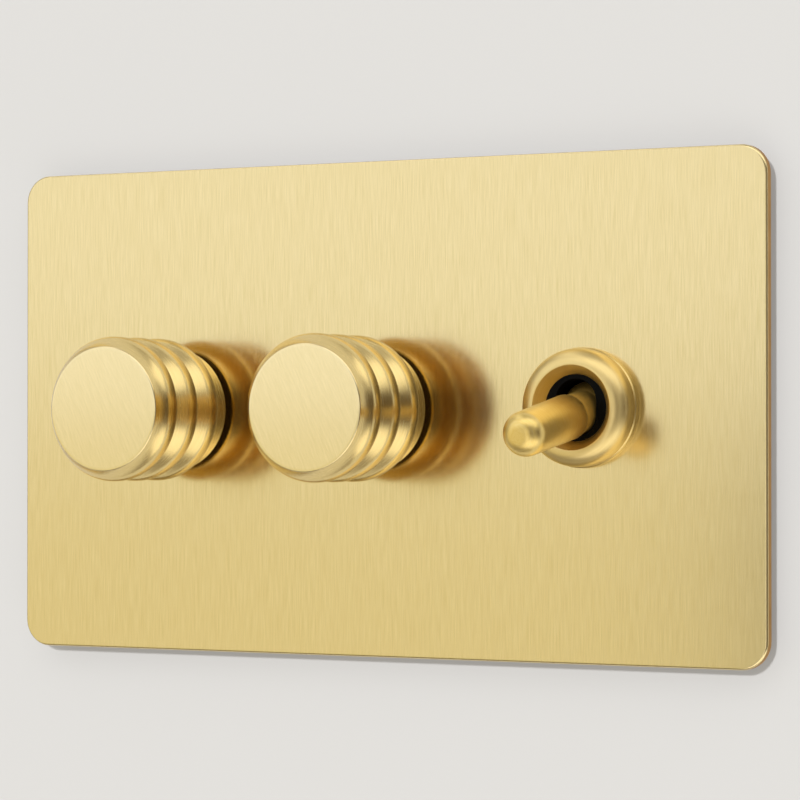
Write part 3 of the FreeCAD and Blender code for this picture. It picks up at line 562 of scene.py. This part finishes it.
def buildSpring(side):
    s = spring
    low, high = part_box(f"{side}_return_spring")
    middleX = (low.x + high.x) / 2
    wireRadius = s["wire"] / 2
    coilRadius = (high.x - low.x) / 2 - wireRadius
    steps = s["turns"] * s["turnSteps"]
    rise = (high.y - low.y - s["wire"]) / steps
    bm = bmesh.new()
    bmesh.ops.create_circle(bm, cap_ends=True, segments=s["wireSides"], radius=wireRadius)
    bmesh.ops.translate(bm, verts=bm.verts, vec=(coilRadius, low.y + wireRadius, 0))
    bmesh.ops.spin(bm, geom=bm.verts[:] + bm.edges[:] + bm.faces[:], cent=(0, 0, 0), axis=(0, 1, 0),
                   dvec=(0, rise, 0), angle=2 * pi * s["turns"], steps=steps)
    closeMesh(bm)
    bmesh.ops.translate(bm, verts=bm.verts, vec=(middleX, 0, 0))
    coil = finishPiece(f"{side}SpringWound", bm, "plate_assembly",
                       finishes["plated_steel"], f"{side}_return_spring")
    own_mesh(coil)


for side in sides:
    buildSpring(side)
print("springs wound")

# wall with an opening for the box, as a plain backdrop
# from: how many degrees to the right and above its light stands
wall = {
    "halfX": 0.45, "halfZ": 0.55, "openX": 70.5 * mm, "openZ": 40.5 * mm,
    "deep": (0.297, 0.297, 0.297), "pale": (0.30, 0.30, 0.30), "rough": 0.9, "fine": 900, "slow": 3,
    "glow": (0.216, 0.209, 0.201), "light": 3.2, "from": (8, 14), "softness": radians(4),
}


def wallPaint():
    material, tree, shader, place = startMaterial("wallPaint", Roughness=wall["rough"])
    grain = useGroup(tree, surfaceGrain, place, Fine=wall["fine"], Slow=wall["slow"])
    colour = blendColours(tree, spread(tree, grain["Mottle"], 0, 1), wall["deep"], wall["pale"])
    join(tree, colour, shader.inputs["Base Color"])
    seen = addNode(tree, "ShaderNodeLightPath").outputs  # the wall's own glow is seen, but lights nothing
    direct = mathStep(tree, "MAXIMUM", seen["Is Camera Ray"], seen["Is Glossy Ray"])
    shown = mathStep(tree, "MAXIMUM", direct, seen["Is Transmission Ray"])
    join(tree, shown, shader.inputs["Emission Strength"])
    shader.inputs["Emission Color"].default_value = (*wall["glow"], 1)
    return material


def buildWall():
    bm = bmesh.new()
    bmesh.ops.create_grid(bm, x_segments=3, y_segments=3, size=1)
    for v in bm.verts:                                  # outer rows to the ends, inner to the opening
        reachX = wall["halfX"] if abs(v.co.x) > 0.5 else wall["openX"]
        reachZ = wall["halfZ"] if abs(v.co.y) > 0.5 else wall["openZ"]
        v.co = (copysign(reachX, v.co.x), copysign(reachZ, v.co.y), 0)
    opening = [f for f in bm.faces if f.calc_center_median().length < wall["openZ"]]
    bmesh.ops.delete(bm, geom=opening, context="FACES")
    bmesh.ops.rotate(bm, verts=bm.verts, cent=(0, 0, 0), matrix=Matrix.Rotation(radians(90), 3, "X"))
    backdrop = meshObject("wall", bm, wallPaint())
    sun = bpy.data.lights.new("wallLamp", "SUN")        # lights the wall alone, past the plate's edge
    sun.energy, sun.angle = wall["light"], wall["softness"]
    holder = addObject("wallLamp", sun)
    around, above = wall["from"]
    holder.rotation_euler = (radians(90 - above), 0, radians(around))
    lit = bpy.data.collections.new("wallOnly")
    lit.objects.link(backdrop)
    holder.light_linking.receiver_collection = lit


# two dark curved screens, seen in the sides of the turned brass
# spans: where each starts and ends, in degrees to the right of the front
screens = {
    "radius": 1.8, "halfHeight": 0.64, "steps": 8,
    "spans": {"nearScreen": (21, 36), "sideScreen": (63, 92)},
    "deep": (0.075, 0.040, 0.009), "pale": (0.10, 0.055, 0.013), "rough": 0.9, "fine": 700, "slow": 12,
}


def screenCloth():
    material, tree, shader, place = startMaterial("screenCloth", Roughness=screens["rough"])
    weave = useGroup(tree, surfaceGrain, place, Fine=screens["fine"], Slow=screens["slow"])
    colour = blendColours(tree, weave["Mottle"], screens["deep"], screens["pale"])
    join(tree, colour, shader.inputs["Base Color"])
    return material


def buildScreens():
    cloth = screenCloth()
    for name, (start, end) in screens["spans"].items():
        bm = bmesh.new()
        lower = bm.verts.new((0, -screens["radius"], -screens["halfHeight"]))
        upper = bmesh.ops.extrude_vert_indiv(bm, verts=[lower])["verts"][0]
        upper.co.z = screens["halfHeight"]
        toStart = Matrix.Rotation(radians(start), 3, "Z")
        bmesh.ops.rotate(bm, verts=bm.verts, cent=(0, 0, 0), matrix=toStart)
        bmesh.ops.spin(bm, geom=bm.verts[:] + bm.edges[:], cent=(0, 0, 0), axis=(0, 0, 1), dvec=(0, 0, 0),
                       angle=radians(end - start), steps=screens["steps"])
        sheet = meshObject(name, bm, cloth)
        sheet.visible_camera = False                    # only reflections show them


buildWall()
buildScreens()
print("stage set")

# soft lamps: glow is how bright the lamp itself looks, 1 is white
lamps = {
    "key": dict(place=(-0.96, -1.32, 0.68), size=(1.7, 1.45), glow=0.71, colour=(0.97, 1, 1.04)),
    "fill": dict(place=(-1.16, -1.20, -0.52), size=(1.6, 1.10), glow=0.48, colour=(1, 0.90, 0.52)),
    "top": dict(place=(-0.85, -0.30, 1.55), size=(1.2, 0.6), glow=0.90, colour=(1, 1, 1)),
    "highRight": dict(place=(0.64, -0.92, 1.32), size=(2.7, 1.25), glow=1.05, colour=(1, 0.98, 0.93)),
    "front": dict(place=(0.06, -1.78, -0.25), size=(0.6, 1.0), glow=0.75, colour=(1, 0.97, 0.90)),
    "rear": dict(place=(-0.55, 1.45, 0.75), size=(1.7, 1.2), glow=0.85, colour=(1, 1, 1)),
    "lowRight": dict(place=(0.66, -0.92, -1.29), size=(2.9, 1.2), glow=1.15, colour=(1, 0.97, 0.90)),
}
for name, lamp in lamps.items():
    light = bpy.data.lights.new(name, "AREA")
    light.shape = "RECTANGLE"
    light.color = lamp["colour"]
    wide, tall = lamp["size"]
    light.size, light.size_y = wide, tall
    light.energy = pi * lamp["glow"] * wide * tall
    holder = addObject(name, light)
    holder.location = lamp["place"]
    holder.rotation_euler = (-Vector(lamp["place"])).to_track_quat("-Z", "Y").to_euler()

# the room round the lamps, darker towards the ground
room = {"upper": (0.38, 0.36, 0.32), "lower": (0.24, 0.21, 0.16), "from": -0.85, "to": -0.15}
world = bpy.data.worlds.new("studio")
bpy.context.scene.world = world
world.use_nodes = True
sky = world.node_tree
height = addNode(sky, "ShaderNodeSeparateXYZ")
join(sky, addNode(sky, "ShaderNodeTexCoord").outputs["Generated"], height.inputs[0])
rise = spread(sky, height.outputs["Z"], 0, 1, room["from"], room["to"])
join(sky, blendColours(sky, rise, room["lower"], room["upper"]), sky.nodes["Background"].inputs["Color"])

# camera at the photo's place, a long lens from the right; yaw and pitch are in degrees
view = {
    "place": (0.2705, -0.49745, -0.0055), "yaw": 28.33, "pitch": 0.718,
    "lens": 145.9, "sensor": 36, "clipStart": 0.01,
}
camera = bpy.data.cameras.new("camera")
camera.lens = view["lens"]
camera.sensor_width = view["sensor"]
camera.clip_start = view["clipStart"]
cameraHolder = addObject("camera", camera)
cameraHolder.location = view["place"]
cameraHolder.rotation_euler = (radians(90 + view["pitch"]), 0, radians(view["yaw"]))
bpy.context.scene.camera = cameraHolder
bpy.context.scene.view_settings.view_transform = "Standard"
print("lamps and camera set")
